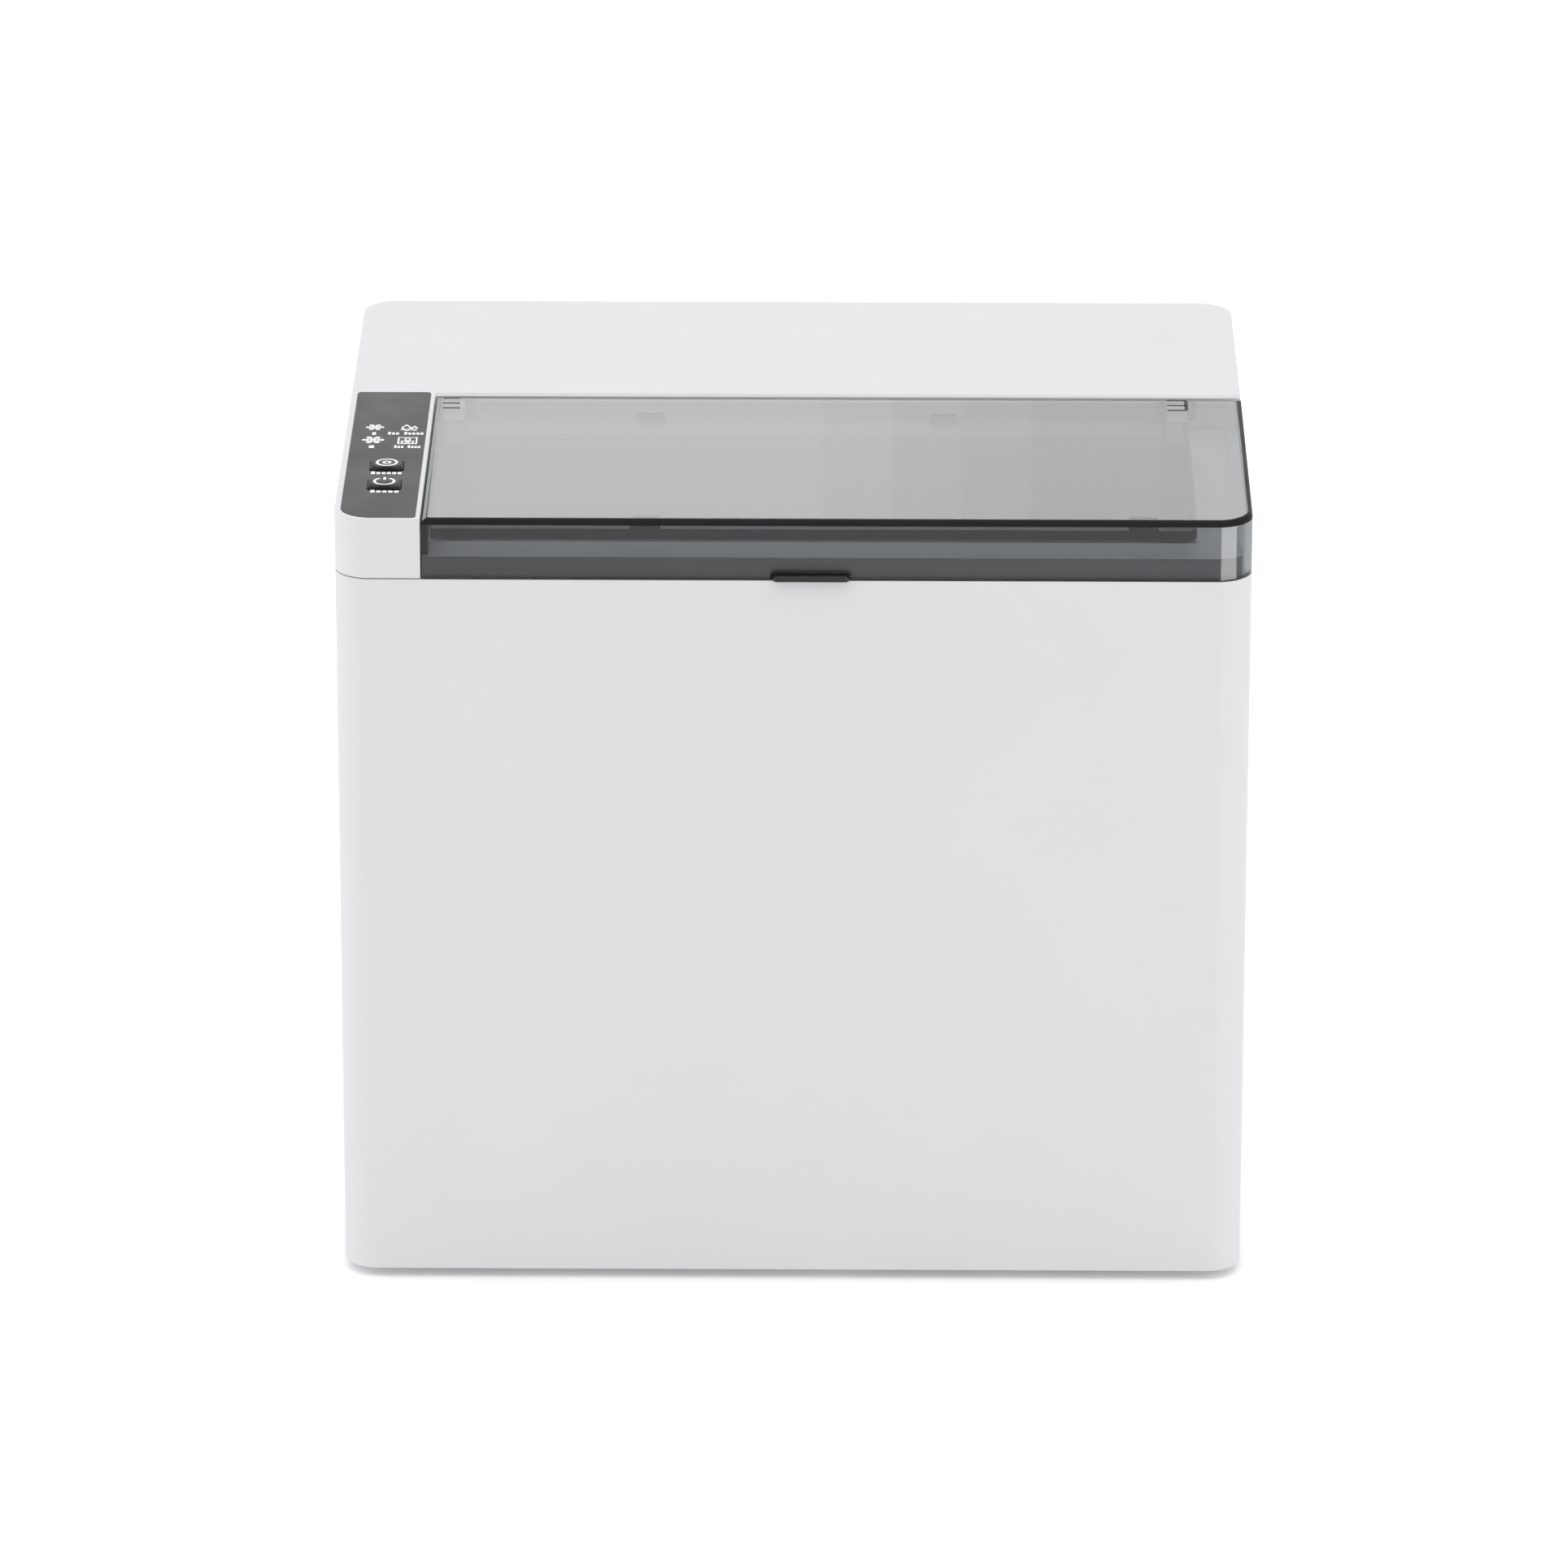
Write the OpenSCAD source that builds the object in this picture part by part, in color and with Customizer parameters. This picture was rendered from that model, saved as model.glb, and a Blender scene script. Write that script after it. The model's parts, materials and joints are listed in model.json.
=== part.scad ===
// Countertop ice maker with a smoked see-through lid.
// Millimetres. +Z up, +X to the right of someone facing it, front at -Y.
// The origin is on the floor under the centre.

/* [Case] */
// Width of the case
body_w = 360; // [340:1:380]
// Depth of the case
body_d = 280; // [270:1:300]
// Height of the lid and the rear deck above the floor
case_top = 322; // [315:1:335]
// Height of the upper unit, from the seam to the top
top_unit_h = 25; // [24:0.5:27]
// Radius of the four upright corners
corner_r = 14; // [10:0.5:18]
// Thickness of the plastic case walls
wall = 2.5; // [2:0.1:3]
// Height of the rubber feet
foot_h = 4; // [3:0.5:6]

/* [Lid and control housing] */
// Width of the control housing beside the lid
control_w = 34; // [33:0.5:38]
// Distance from the front of the case to the rear edge of the lid
lid_depth = 156; // [150:0.5:158]
// Thickness of the smoked lid
lid_t = 2.5; // [2:0.1:3]
// Depth of the hinge axis below the top, also the radius of the lid's rear edge
hinge_drop = 6; // [5.8:0.1:6.4]
// Radius of the steel hinge pins
pin_r = 1.5; // [1:0.1:1.6]

/* [Buttons] */
// Side of the square push buttons
button_w = 13; // [12:0.5:14]
// Height of the buttons above the label
button_rise = 1.5; // [1:0.1:2]
// Travel of the buttons
button_travel = 1; // [0.5:0.1:1]

/* [Ice unit] */
// Number of freezing fingers
finger_count = 12; // [8:1:12]
// Distance between the freezing fingers
finger_pitch = 18.5; // [17:0.5:18.5]
// Outer radius of the tilting water tray
tray_r = 21; // [19:0.5:21]
// Radius of the tray's drive shaft
shaft_r = 3; // [2.5:0.1:3]
// Radial clearance of a shaft that turns in a hole
run_fit = 0.05; // [0.03:0.01:0.08]

/* [Hidden] */
$fn = 48;
pipe_sides = 10;
half_w = body_w / 2;
half_d = body_d / 2;
seam_z = case_top - top_unit_h;
seam_gap = 0.5;
lip_depth = 6;
white = [0.90, 0.90, 0.91];
smoke = [0.30, 0.32, 0.33, 0.55];
copper = [0.72, 0.45, 0.30];
steel = [0.72, 0.73, 0.75];
black = [0.08, 0.08, 0.09];

// Lid: left and rear edges, hinge axis and the deck wall behind it
lid_gap = 0.6;
control_x = -half_w + control_w;
lid_l = control_x + lid_gap;
lid_back = -half_d + lid_depth;
deck_y = lid_back + 0.8;
hinge_y = lid_back - hinge_drop;
hinge_z = case_top - hinge_drop;
lid_low = seam_z + lid_gap;
swing_r = hinge_z - lid_low;
rear_in_r = hinge_drop - lid_t;

// Chamber: inner faces of the liner
liner_t = 2;
chamber = [[control_x + 4, -half_d + 16, 58], [half_w - 22, 47, seam_z]];
mid_x = (chamber[0][0] + chamber[1][0]) / 2;
rim_h = 9;
rim_open_y = -118;
rim_in = wall + 0.4;
rim_top = seam_z + rim_h;
flange_t = 2;

// Hinge brackets, one near each rear corner of the chamber
bracket_w = 8;
bracket_xs = [chamber[0][0], chamber[1][0] - bracket_w];
ear_t = 3;
ear_gap = 0.4;

// Control label and buttons
label_a = [-half_w + 2.7, -half_d + 2];
label_b = [control_x - 2, 18];
label_t = 0.6;
button_x = -half_w + 18.4;
button_ys = [-75.3, -98.5];
button_clear = 0.4;
button_flange = 1.4;
button_hole = button_w / 2 + button_clear;
board_z = 307.8;
board_t = 1.6;
led_places = [[-168.6, -28.2], [-168.6, -44.2], [-154.9, -28.2], [-154.9, -44.2]];

// Tilting tray and ice shovel turn about one axis
tray_y = 23.5;
tray_z = 250;
tray_t = 2;
tray_x = [mid_x - 130, mid_x + 130];
arm_x = [tray_x[0] + 5, tray_x[1] - 8];
shovel_rest = -10;
bar_r = 15.5;
finger_x0 = mid_x - (finger_count - 1) * finger_pitch / 2;
finger_r = 4.5;
header_z = 281;

// Ice basket
basket_a = [chamber[0][0] + 6, rim_open_y + 2, 78];
basket_b = [chamber[1][0] - 6, -6, 208];
basket_t = 2;

// Machine compartment behind the liner
comp_x = -60;
comp_y = 94;
comp_r = 40;
fan_y = 93;
fan_z = 75;
fan_r = 36;
cond_x = [70, 92];
cond_y = [57, 126];
cond_rows = 6;
pump_x = 125;
pump_y = 27;
hose_y = 12;
hose_z = 290;
drain_x = 30;
drain_z = 64;
inlet_x = -120;
inlet_z = 42;
rear_open = half_w - corner_r - 6;
spacer_t = 3.5;
drier = [48, 66, 70];

// ---------------------------------------------------------------- helpers

// Box between two opposite corners
module block(a, b) {
  translate(a) cube(b - a);
}

// Cylinders along each axis
module rod_x(x0, x1, y, z, r) {
  translate([x0, y, z]) rotate([0, 90, 0]) cylinder(h = x1 - x0, r = r);
}
module rod_y(y0, y1, x, z, r) {
  translate([x, y0, z]) rotate([-90, 0, 0]) cylinder(h = y1 - y0, r = r);
}
module rod_z(z0, z1, x, y, r) {
  translate([x, y, z0]) cylinder(h = z1 - z0, r = r);
}

// Flat outline in Y and Z, drawn out from x0 to x1
module along_x(x0, x1) {
  translate([x0, 0, 0]) rotate([90, 0, 90]) linear_extrude(x1 - x0) children();
}

// Flat outline in X and Y, drawn up from z0 to z1
module upright(z0, z1) {
  translate([0, 0, z0]) linear_extrude(z1 - z0) children();
}

// Rectangle between two corners
module rect(a, b) {
  translate(a) square(b - a);
}

// Rectangle with all four corners rounded
module round_rect(a, b, r) {
  rect([a[0] + r, a[1]], [b[0] - r, b[1]]);
  rect([a[0], a[1] + r], [b[0], b[1] - r]);
  for (x = [a[0] + r, b[0] - r], y = [a[1] + r, b[1] - r]) translate([x, y]) circle(r);
}

// Rectangle with one rounded corner, at the right end of its front side
module front_right_rounded(a, b, r) {
  rect(a, [b[0] - r, b[1]]);
  rect([a[0], a[1] + r], b);
  translate([b[0] - r, a[1] + r]) circle(r);
}

// Outline of the case, moved in by a distance
module case_outline(inset = 0) {
  round_rect([-half_w + inset, -half_d + inset], [half_w - inset, half_d - inset], corner_r - inset);
}

// Points of a path with each corner turned into a short curve
function unit(v) = v / norm(v);
function bend(a, b, c, r) =
  let (p = b + unit(a - b) * min(r, norm(a - b) / 2.1), q = b + unit(c - b) * min(r, norm(c - b) / 2.1))
  [for (t = [0:0.25:1]) p * (1 - t) * (1 - t) + b * 2 * t * (1 - t) + q * t * t];
function soft_path(pts, r) = [
  pts[0],
  for (i = [1:len(pts) - 2]) each bend(pts[i - 1], pts[i], pts[i + 1], r),
  pts[len(pts) - 1]
];

// Direction of a path at each point, and a ring of points square to it
function along(pts, i) =
  unit(pts[min(i + 1, len(pts) - 1)] - pts[max(i - 1, 0)]);
function carry(side, dir) = unit(side - dir * (side * dir));
function sides(pts, start) = [
  for (i = 0, s = carry(start, along(pts, 0)); i < len(pts);
       i = i + 1, s = i < len(pts) ? carry(s, along(pts, i)) : s) s
];

// Round pipe swept along a path
module pipe(pts, r, start = [0.3, 0.5, 0.8], count = pipe_sides) {
  side = sides(pts, start);
  rings = [
    for (i = [0:len(pts) - 1], k = [0:count - 1])
      pts[i] + r * (cos(360 * k / count) * side[i] + sin(360 * k / count) * cross(along(pts, i), side[i]))
  ];
  last = len(pts) - 1;
  walls = [
    for (i = [0:last - 1], k = [0:count - 1])
      each [
        [i * count + k, (i + 1) * count + k, i * count + (k + 1) % count],
        [i * count + (k + 1) % count, (i + 1) * count + k, (i + 1) * count + (k + 1) % count]
      ]
  ];
  ends = [[for (k = [0:count - 1]) k], [for (k = [count - 1:-1:0]) last * count + k]];
  polyhedron(rings, concat(walls, ends), convexity = 6);
}

// Pan-head screw whose head lies below z = 0 and whose shank goes up
module screw(shank = 9) {
  translate([0, 0, -1.6]) cylinder(h = 1.6, r = 3.2);
  cylinder(h = shank, r = 1.5);
}

// ---------------------------------------------------------------- case

foot_places = [for (x = [-half_w + 38, half_w - 38], y = [-half_d + 34, half_d - 34]) [x, y]];
base_screw_places = [for (x = [-half_w + 16, half_w - 16], y = [-80, 0, 80]) [x, y]];

module base_pan() {
  color([0.62, 0.63, 0.65]) difference() {
    union() {
      upright(foot_h, foot_h + 2) case_outline(wall + 0.3);
      upright(foot_h, foot_h + 12) difference() {
        case_outline(wall + 0.3);
        case_outline(wall + 1.5);
      }
    }
    for (p = foot_places) rod_z(foot_h - 1, foot_h + 3, p[0], p[1], 3);
    for (p = base_screw_places) rod_z(foot_h - 1, foot_h + 3, p[0], p[1], 1.5);
    for (i = [0:7]) block([64 + i * 7, 60, foot_h - 1], [67 + i * 7, 120, foot_h + 3]);
  }
}

module feet() {
  color(black) for (p = foot_places) translate([p[0], p[1], 0]) {
    cylinder(h = foot_h - 1, r1 = 9.5, r2 = 11);
    translate([0, 0, foot_h - 1]) cylinder(h = 1, r = 11);
    cylinder(h = foot_h + 2, r = 3);
    translate([0, 0, foot_h + 2]) cylinder(h = 2, r1 = 4.6, r2 = 3.2);
  }
}

module base_screws() {
  color(steel) for (p = base_screw_places) translate([p[0], p[1], foot_h]) screw(6);
}

module front_side_cover() {
  vent_y = [54, 128];
  color(white) difference() {
    upright(foot_h, seam_z) difference() {
      case_outline();
      case_outline(wall);
      rect([-rear_open, half_d - wall - 1], [rear_open, half_d + 1]);
    }
    for (i = [0:11]) {
      block([half_w - wall - 1, vent_y[0], 40 + i * 7], [half_w + 1, vent_y[1], 43.5 + i * 7]);
      block([-half_w - 1, vent_y[0], 40 + i * 7], [-half_w + wall + 1, vent_y[1], 43.5 + i * 7]);
    }
  }
}

rear_screw_places = [
  for (x = [-rear_open + 8, rear_open - 8], z = [24, 150, 284]) [x, z]
];

module rear_panel() {
  color(white) difference() {
    block([-rear_open + 0.3, half_d - wall, foot_h + 1], [rear_open - 0.3, half_d, seam_z]);
    for (x = [-110, -30, 50], i = [0:13])
      block([x, half_d - wall - 1, 120 + i * 8], [x + 60, half_d + 1, 124 + i * 8]);
    block([inlet_x - 14.5, half_d - wall - 1, inlet_z - 10.5], [inlet_x + 14.5, half_d + 1, inlet_z + 10.5]);
    rod_y(half_d - wall - 1, half_d + 1, drain_x, drain_z, 7);
    for (p = rear_screw_places) rod_y(half_d - wall - 1, half_d + 1, p[0], p[1], 1.5);
  }
}

module rear_panel_screws() {
  color(steel) for (p = rear_screw_places)
    translate([p[0], half_d, p[1]]) rotate([90, 0, 0]) screw(9);
}

module rear_spacers() {
  color(black) for (x = [-130, 130]) {
    rod_y(half_d, half_d + spacer_t - 1, x, 262, 8);
    rod_y(half_d, half_d + spacer_t, x, 262, 7);
  }
}

// L-shaped outline of the top cover: control housing at the left and the deck behind the lid
module top_outline(inset = 0) {
  difference() {
    case_outline(inset);
    rect([control_x - inset, -half_d - 1], [half_w + 1, deck_y + inset]);
  }
}

module label_outline(grow = 0) {
  a = [label_a[0] - grow, label_a[1] - grow];
  b = [label_b[0] + grow, label_b[1] + grow];
  big = 12;
  difference() {
    round_rect(a, b, 1.5);
    rect(a - [1, 1], a + [big, big]);
  }
  translate(a + [big, big]) intersection() {
    circle(big);
    rect([-big - 1, -big - 1], [0, 0]);
  }
}

module button_holes() {
  reach = [button_hole, button_hole];
  for (y = button_ys) translate([button_x, y, 0])
    upright(case_top - 5, case_top + 5) round_rect(-reach, reach, 2);
}

board_posts = [for (x = [-174, -151.5], y = [-112, 4]) [x, y]];

module top_cover() {
  low = seam_z + seam_gap;
  chamfer = 1.2;
  color(white) difference() {
    union() {
      difference() {
        upright(low, case_top) top_outline();
        upright(low - 1, case_top - wall) top_outline(wall);
      }
      upright(seam_z - lip_depth, low + 3) difference() {
        top_outline(wall + 0.2);
        top_outline(wall + 1.7);
        rect([control_x - 12, -half_d], [half_w + 1, chamber[1][1] + 15]);
      }
      for (p = board_posts) rod_z(board_z + board_t, case_top - wall + 0.5, p[0], p[1], 2.2);
    }
    upright(case_top - label_t, case_top + 1) label_outline(0.05);
    button_holes();
    for (p = led_places) rod_z(case_top - 5, case_top + 1, p[0], p[1], 1.6);
    along_x(control_x, half_w + 1)
      polygon([[deck_y - 1, case_top - chamfer - 1], [deck_y, case_top - chamfer],
               [deck_y + chamfer, case_top], [deck_y + chamfer, case_top + 1], [deck_y - 1, case_top + 1]]);
  }
}

module hinge_brackets() {
  color([0.75, 0.76, 0.78]) for (x = bracket_xs) difference() {
    along_x(x, x + bracket_w) {
      rect([hinge_y - 12.8, rim_top - 2], [deck_y, hinge_z - hinge_drop - 0.8]);
      rect([hinge_y - 12.8, rim_top - 2], [hinge_y - 0.8, hinge_z - 1.6]);
      rect([hinge_y - 5.6, hinge_z - 2.7], [hinge_y, hinge_z + 2.7]);
      translate([hinge_y, hinge_z]) circle(2.7);
    }
    rod_x(x - 1, x + bracket_w + 1, hinge_y, hinge_z, pin_r + run_fit);
  }
}

module tub_rim() {
  pocket_y = [-26, deck_y - 3];
  color([0.80, 0.81, 0.83]) difference() {
    upright(seam_z, rim_top) difference() {
      front_right_rounded([lid_l, -half_d + rim_in], [half_w - rim_in, deck_y - 0.4], corner_r - rim_in);
      rect([chamber[0][0], rim_open_y], [chamber[1][0], deck_y + 1]);
    }
    block([chamber[1][0] + 3, pocket_y[0], rim_top - 2.5], [half_w - wall - 3, pocket_y[1], rim_top + 1]);
  }
}

// ---------------------------------------------------------------- controls

module control_label() {
  color([0.43, 0.43, 0.44]) difference() {
    upright(case_top - label_t, case_top) label_outline();
    button_holes();
  }
}

module control_board() {
  color([0.10, 0.32, 0.18]) {
    difference() {
      block([-176.5, -116, board_z], [-149.3, 8, board_z + board_t]);
      for (p = board_posts) rod_z(board_z - 1, board_z + board_t + 1, p[0], p[1], 1.4);
    }
    block([-168, -12, board_z - 5], [-156, 2, board_z]);
    block([-170, -60, board_z - 2], [-158, -48, board_z]);
  }
}

module tact_switches() {
  base = board_z + board_t;
  color(black) for (y = button_ys) {
    block([button_x - 3, y - 3, base], [button_x + 3, y + 3, base + 2.5]);
    rod_z(base + 2.5, base + 3.3, button_x, y, 1.7);
  }
}

module indicator_leds() {
  color([0.95, 0.95, 0.97]) for (p = led_places) {
    rod_z(board_z + board_t, board_z + board_t + 1, p[0], p[1], 2);
    rod_z(board_z + board_t + 1, case_top - label_t, p[0], p[1], 1.4);
  }
}

// Push button: square skirt rising to a round top, flange under the case and a stem to the switch
module push_button(y) {
  h = button_w / 2;
  translate([button_x, y, 0]) {
    upright(case_top - wall - 0.5, case_top + 0.3) round_rect([-h, -h], [h, h], 2);
    hull() {
      upright(case_top + 0.2, case_top + 0.3) round_rect([-h, -h], [h, h], 2);
      upright(case_top + button_rise - 0.4, case_top + button_rise) circle(h - 1.4);
    }
    upright(case_top - wall - 1.6, case_top - wall - 0.4)
      round_rect([-h - button_flange, -h - button_flange], [h + button_flange, h + button_flange], 2);
    upright(board_z + board_t + 3.3 + button_travel + 0.3, case_top - wall - 1.5) rect([-2, -2], [2, 2]);
  }
}

module select_button() {
  color(black) push_button(button_ys[0]);
}

module power_button() {
  color(black) push_button(button_ys[1]);
}

// ---------------------------------------------------------------- lid

module lid_side() {
  rect([-half_d, lid_low], [hinge_y, case_top]);
  translate([hinge_y, hinge_z]) {
    intersection() {
      circle(hinge_drop);
      rect([0, 0], [hinge_drop + 1, hinge_drop + 1]);
    }
    intersection() {
      circle(swing_r);
      rect([0, -swing_r - 1], [hinge_drop, 0]);
    }
  }
}

module lid_hollow_side() {
  rect([-half_d + lid_t, lid_low - 1], [hinge_y, case_top - lid_t]);
  rect([hinge_y - 1, lid_low - 1], [lid_back + 1, hinge_z]);
  translate([hinge_y, hinge_z]) intersection() {
    circle(rear_in_r);
    rect([-0.01, -1], [rear_in_r + 1, rear_in_r + 1]);
  }
}

module lid_cover() {
  tab_x = 7;
  left_in = lid_l + lid_t;
  right_in = half_w - lid_t;
  color(smoke) difference() {
    union() {
      difference() {
        intersection() {
          along_x(lid_l, half_w) lid_side();
          upright(lid_low - 1, case_top + 1)
            front_right_rounded([lid_l, -half_d], [half_w, lid_back + 1], corner_r);
        }
        intersection() {
          along_x(left_in, right_in) lid_hollow_side();
          upright(lid_low - 2, case_top)
            front_right_rounded([left_in, -half_d + lid_t], [right_in, lid_back + 2], corner_r - lid_t);
        }
        block([lid_l - 1, -half_d + lid_t, lid_low - 1], [left_in + 1, lid_back + 1, rim_top + lid_gap]);
        along_x(lid_l - 1, left_in + 1) difference() {
          rect([hinge_y, lid_low - 1], [lid_back + 1, hinge_z]);
          translate([hinge_y, hinge_z]) circle(hinge_z - rim_top - lid_gap);
        }
      }
      upright(lid_low, lid_low + 2.6)
        polygon([[tab_x - 16, 1 - half_d], [tab_x - 16, -half_d], [tab_x - 14, -half_d - spacer_t],
                 [tab_x + 14, -half_d - spacer_t], [tab_x + 16, -half_d], [tab_x + 16, 1 - half_d]]);
      for (x = bracket_xs, s = [-ear_gap - ear_t, bracket_w + ear_gap])
        along_x(x + s, x + s + ear_t) {
          translate([hinge_y, hinge_z]) circle(4);
          rect([hinge_y - 4, hinge_z], [hinge_y, case_top - lid_t + 0.5]);
        }
    }
    for (x = bracket_xs)
      rod_x(x - ear_gap - ear_t + 0.8, x + bracket_w + ear_gap + ear_t - 0.8, hinge_y, hinge_z, pin_r);
  }
}

module hinge_pins() {
  color(steel) for (x = bracket_xs)
    rod_x(x - ear_gap - ear_t + 0.8, x + bracket_w + ear_gap + ear_t - 0.8, hinge_y, hinge_z, pin_r);
}

module lid_inner_panel() {
  plate_z = hinge_z + 1;
  low = hinge_z - 3.3;
  notch = 14;
  front = -half_d + 4;
  color([0.45, 0.47, 0.48, 0.6]) {
    difference() {
      upright(low, plate_z) front_right_rounded([chamber[0][0], front], [chamber[1][0], hinge_y - 3], 5);
      upright(low - 1, plate_z - 1.8)
        front_right_rounded([chamber[0][0] + 1.6, front + 1.6], [chamber[1][0] - 1.6, hinge_y - 4.6], 3.4);
      block([chamber[0][0] - 1, -7, low - 1], [chamber[0][0] + notch, hinge_y, plate_z + 1]);
      block([chamber[1][0] - notch, -7, low - 1], [chamber[1][0] + 1, hinge_y, plate_z + 1]);
    }
    for (x = [-58, 137]) block([x - 5.75, front, plate_z - 1], [x + 5.75, front + 4, case_top - lid_t]);
    for (x = [-58, 60]) block([x - 5.75, -9, plate_z - 1], [x + 5.75, -5, case_top - lid_t]);
  }
}

// ---------------------------------------------------------------- chamber

module inner_liner() {
  a = chamber[0];
  b = chamber[1];
  t = liner_t;
  color([0.86, 0.87, 0.89]) difference() {
    union() {
      block([a[0] - t, a[1] - t, a[2] - t], [b[0] + t, b[1] + t, b[2] - 0.5]);
      upright(seam_z - flange_t, seam_z)
        front_right_rounded([lid_l, -half_d + rim_in], [half_w - rim_in, b[1] + 13], corner_r - rim_in);
    }
    block(a, b + [0, 0, 1]);
    rod_x(a[0] - t - 1, a[0] + 1, tray_y, tray_z, 7.2);
    rod_x(b[0] - 1, b[0] + t + 1, tray_y, tray_z, 6);
    for (x = [arm_x[0] - 3, arm_x[1] + 1]) rod_y(b[1] - 1, b[1] + t + 1, x, header_z, 6);
    rod_y(b[1] - 1, b[1] + t + 1, drain_x, drain_z, 7);
  }
  color([0.86, 0.87, 0.89]) for (x = [-90, 106])
    block([x - 3, basket_a[1], a[2] - 0.5], [x + 3, basket_b[1] - 10, basket_a[2] - 0.5]);
}

module liner_foam() {
  a = chamber[0];
  b = chamber[1];
  t = liner_t;
  g = 11;
  color([0.96, 0.95, 0.92]) difference() {
    block([a[0] - t - g, a[1] - t - g + 1, a[2] - t - g], [b[0] + t + g, b[1] + t, seam_z - flange_t]);
    block([a[0] - t, a[1] - t, a[2] - t], [b[0] + t, b[1] + t + 1, b[2]]);
    block([a[0] - t - g - 1, 4, 230], [a[0] - t + 1, 43, seam_z]);
    rod_x(b[0], b[0] + t + g + 1, tray_y, tray_z, 11);
  }
}

// X places of a row of so many holes about the middle of the chamber
function row_x(count, pitch) = [for (i = [0:count - 1]) mid_x + (i - (count - 1) / 2) * pitch];

module evaporator_cover() {
  x0 = chamber[0][0] + 9;
  x1 = chamber[1][0] - 10;
  top = rim_top + 1;
  strip_x = [mid_x - 113.5, mid_x + 113.5];
  strip_z = [298.6, 304.6];
  spray_z = 282.2;
  ledge_z = 276.4;
  color([0.93, 0.93, 0.94]) difference() {
    union() {
      block([x0, 0, 262], [x1, 2, top]);
      block([x0, 0, top - 2], [x1, deck_y - 0.4, top]);
      for (x = [x0, x1 - 2]) {
        block([x, 0, 272], [x + 2, 46, seam_z - 1]);
        block([x, 0, seam_z - 2], [x + 2, deck_y - 0.4, top - 1]);
      }
      block([x0, -1, ledge_z], [x1, 1, ledge_z + 1.2]);
      rotate([90, 0, 0]) linear_extrude(1.2) {
        rect([strip_x[0], strip_z[0]], [strip_x[1], strip_z[1] - 5]);
        rect([strip_x[0] + 5, strip_z[1] - 5.5], [strip_x[1] - 5, strip_z[1]]);
        for (x = [strip_x[0] + 5, strip_x[1] - 5]) translate([x, strip_z[1] - 5]) circle(5);
      }
      for (s = [-1, 1], rib = [[121, 6, 302], [117, 3, 297.5], [124, 4, 293]])
        translate([mid_x + s * rib[0], 0, rib[2]]) block([-rib[1], -1, -0.4], [rib[1], 1, 0.4]);
    }
    for (x = row_x(12, 18.5)) rod_y(-3, 3, x, strip_z[0] + 0.9, 0.8);
    for (x = row_x(16, 18.2)) rod_y(-3, 3, x, spray_z, 0.9);
    block([x1 - 3, hose_y - 6, hose_z - 6], [x1 + 1, hose_y + 9, hose_z + 6]);
  }
}

module evaporator_tube() {
  ends = [arm_x[1] + 1, arm_x[0] - 3];
  path = soft_path([[ends[0], 62, header_z], [ends[0], tray_y, header_z], [ends[1], tray_y, header_z],
                    [ends[1], 62, header_z]], 12);
  color(copper) pipe(path, 5, [0, 0, 1], 12);
}

module freezing_fingers() {
  color(steel) difference() {
    for (i = [0:finger_count - 1]) translate([finger_x0 + i * finger_pitch, tray_y, 0]) {
      translate([0, 0, tray_z - 9]) cylinder(h = 2, r1 = 2.8, r2 = finger_r);
      rod_z(tray_z - 7, header_z, 0, 0, finger_r);
    }
    rod_x(arm_x[0], arm_x[1], tray_y, header_z, 5.02);
  }
}

module water_tray() {
  color([0.90, 0.91, 0.93]) difference() {
    along_x(tray_x[0], tray_x[1]) translate([tray_y, tray_z]) {
      intersection() {
        circle(tray_r);
        rect([-tray_r - 1, -tray_r - 1], [tray_r + 1, 0]);
      }
      circle(7);
    }
    along_x(tray_x[0] + 3, tray_x[1] - 3) translate([tray_y, tray_z]) circle(tray_r - tray_t);
    rod_x(tray_x[0] - 1, tray_x[1] + 1, tray_y, tray_z, shaft_r);
  }
}

module tray_shaft() {
  color(steel) {
    rod_x(control_x - 5, arm_x[0] + 4, tray_y, tray_z, shaft_r);
    rod_x(arm_x[1] - 1, chamber[1][0] + 3.5, tray_y, tray_z, shaft_r);
  }
}

module ice_shovel() {
  color([0.85, 0.86, 0.88]) difference() {
    union() {
      for (x = arm_x) {
        rod_x(x, x + 3, tray_y, tray_z, 6);
        translate([x, tray_y, tray_z]) rotate([shovel_rest, 0, 0]) block([0, 0, -2.5], [3, bar_r + 1.4, 2.5]);
      }
      translate([0, tray_y, tray_z]) rotate([shovel_rest, 0, 0]) {
        block([arm_x[0], bar_r - 1.4, -1.4], [arm_x[1] + 3, bar_r + 1.4, 1.4]);
        for (i = [0:finger_count]) translate([finger_x0 + (i - 0.5) * finger_pitch, 0, 0])
          block([-1.2, 6.5, -1], [1.2, bar_r, 1]);
      }
    }
    rod_x(arm_x[0] - 1, arm_x[1] + 4, tray_y, tray_z, shaft_r + run_fit);
  }
}

module tray_gearmotor() {
  color([0.20, 0.21, 0.23]) difference() {
    union() {
      block([-176, 8, 236], [-150, 39, 266]);
      rod_x(-151, chamber[0][0] - 0.3, tray_y, tray_z, 7);
      block([-158, 8, 266], [-150, 39, 272]);
    }
    rod_x(control_x - 5.4, chamber[0][0] + 1, tray_y, tray_z, shaft_r + run_fit);
  }
}

module tray_bush() {
  color([0.95, 0.94, 0.88]) difference() {
    union() {
      rod_x(chamber[1][0] - 3, chamber[1][0] + 5, tray_y, tray_z, 6);
      rod_x(chamber[1][0] + liner_t, chamber[1][0] + 5, tray_y, tray_z, 9);
    }
    rod_x(chamber[1][0] - 4, chamber[1][0] + 4, tray_y, tray_z, shaft_r + run_fit);
  }
}

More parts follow.
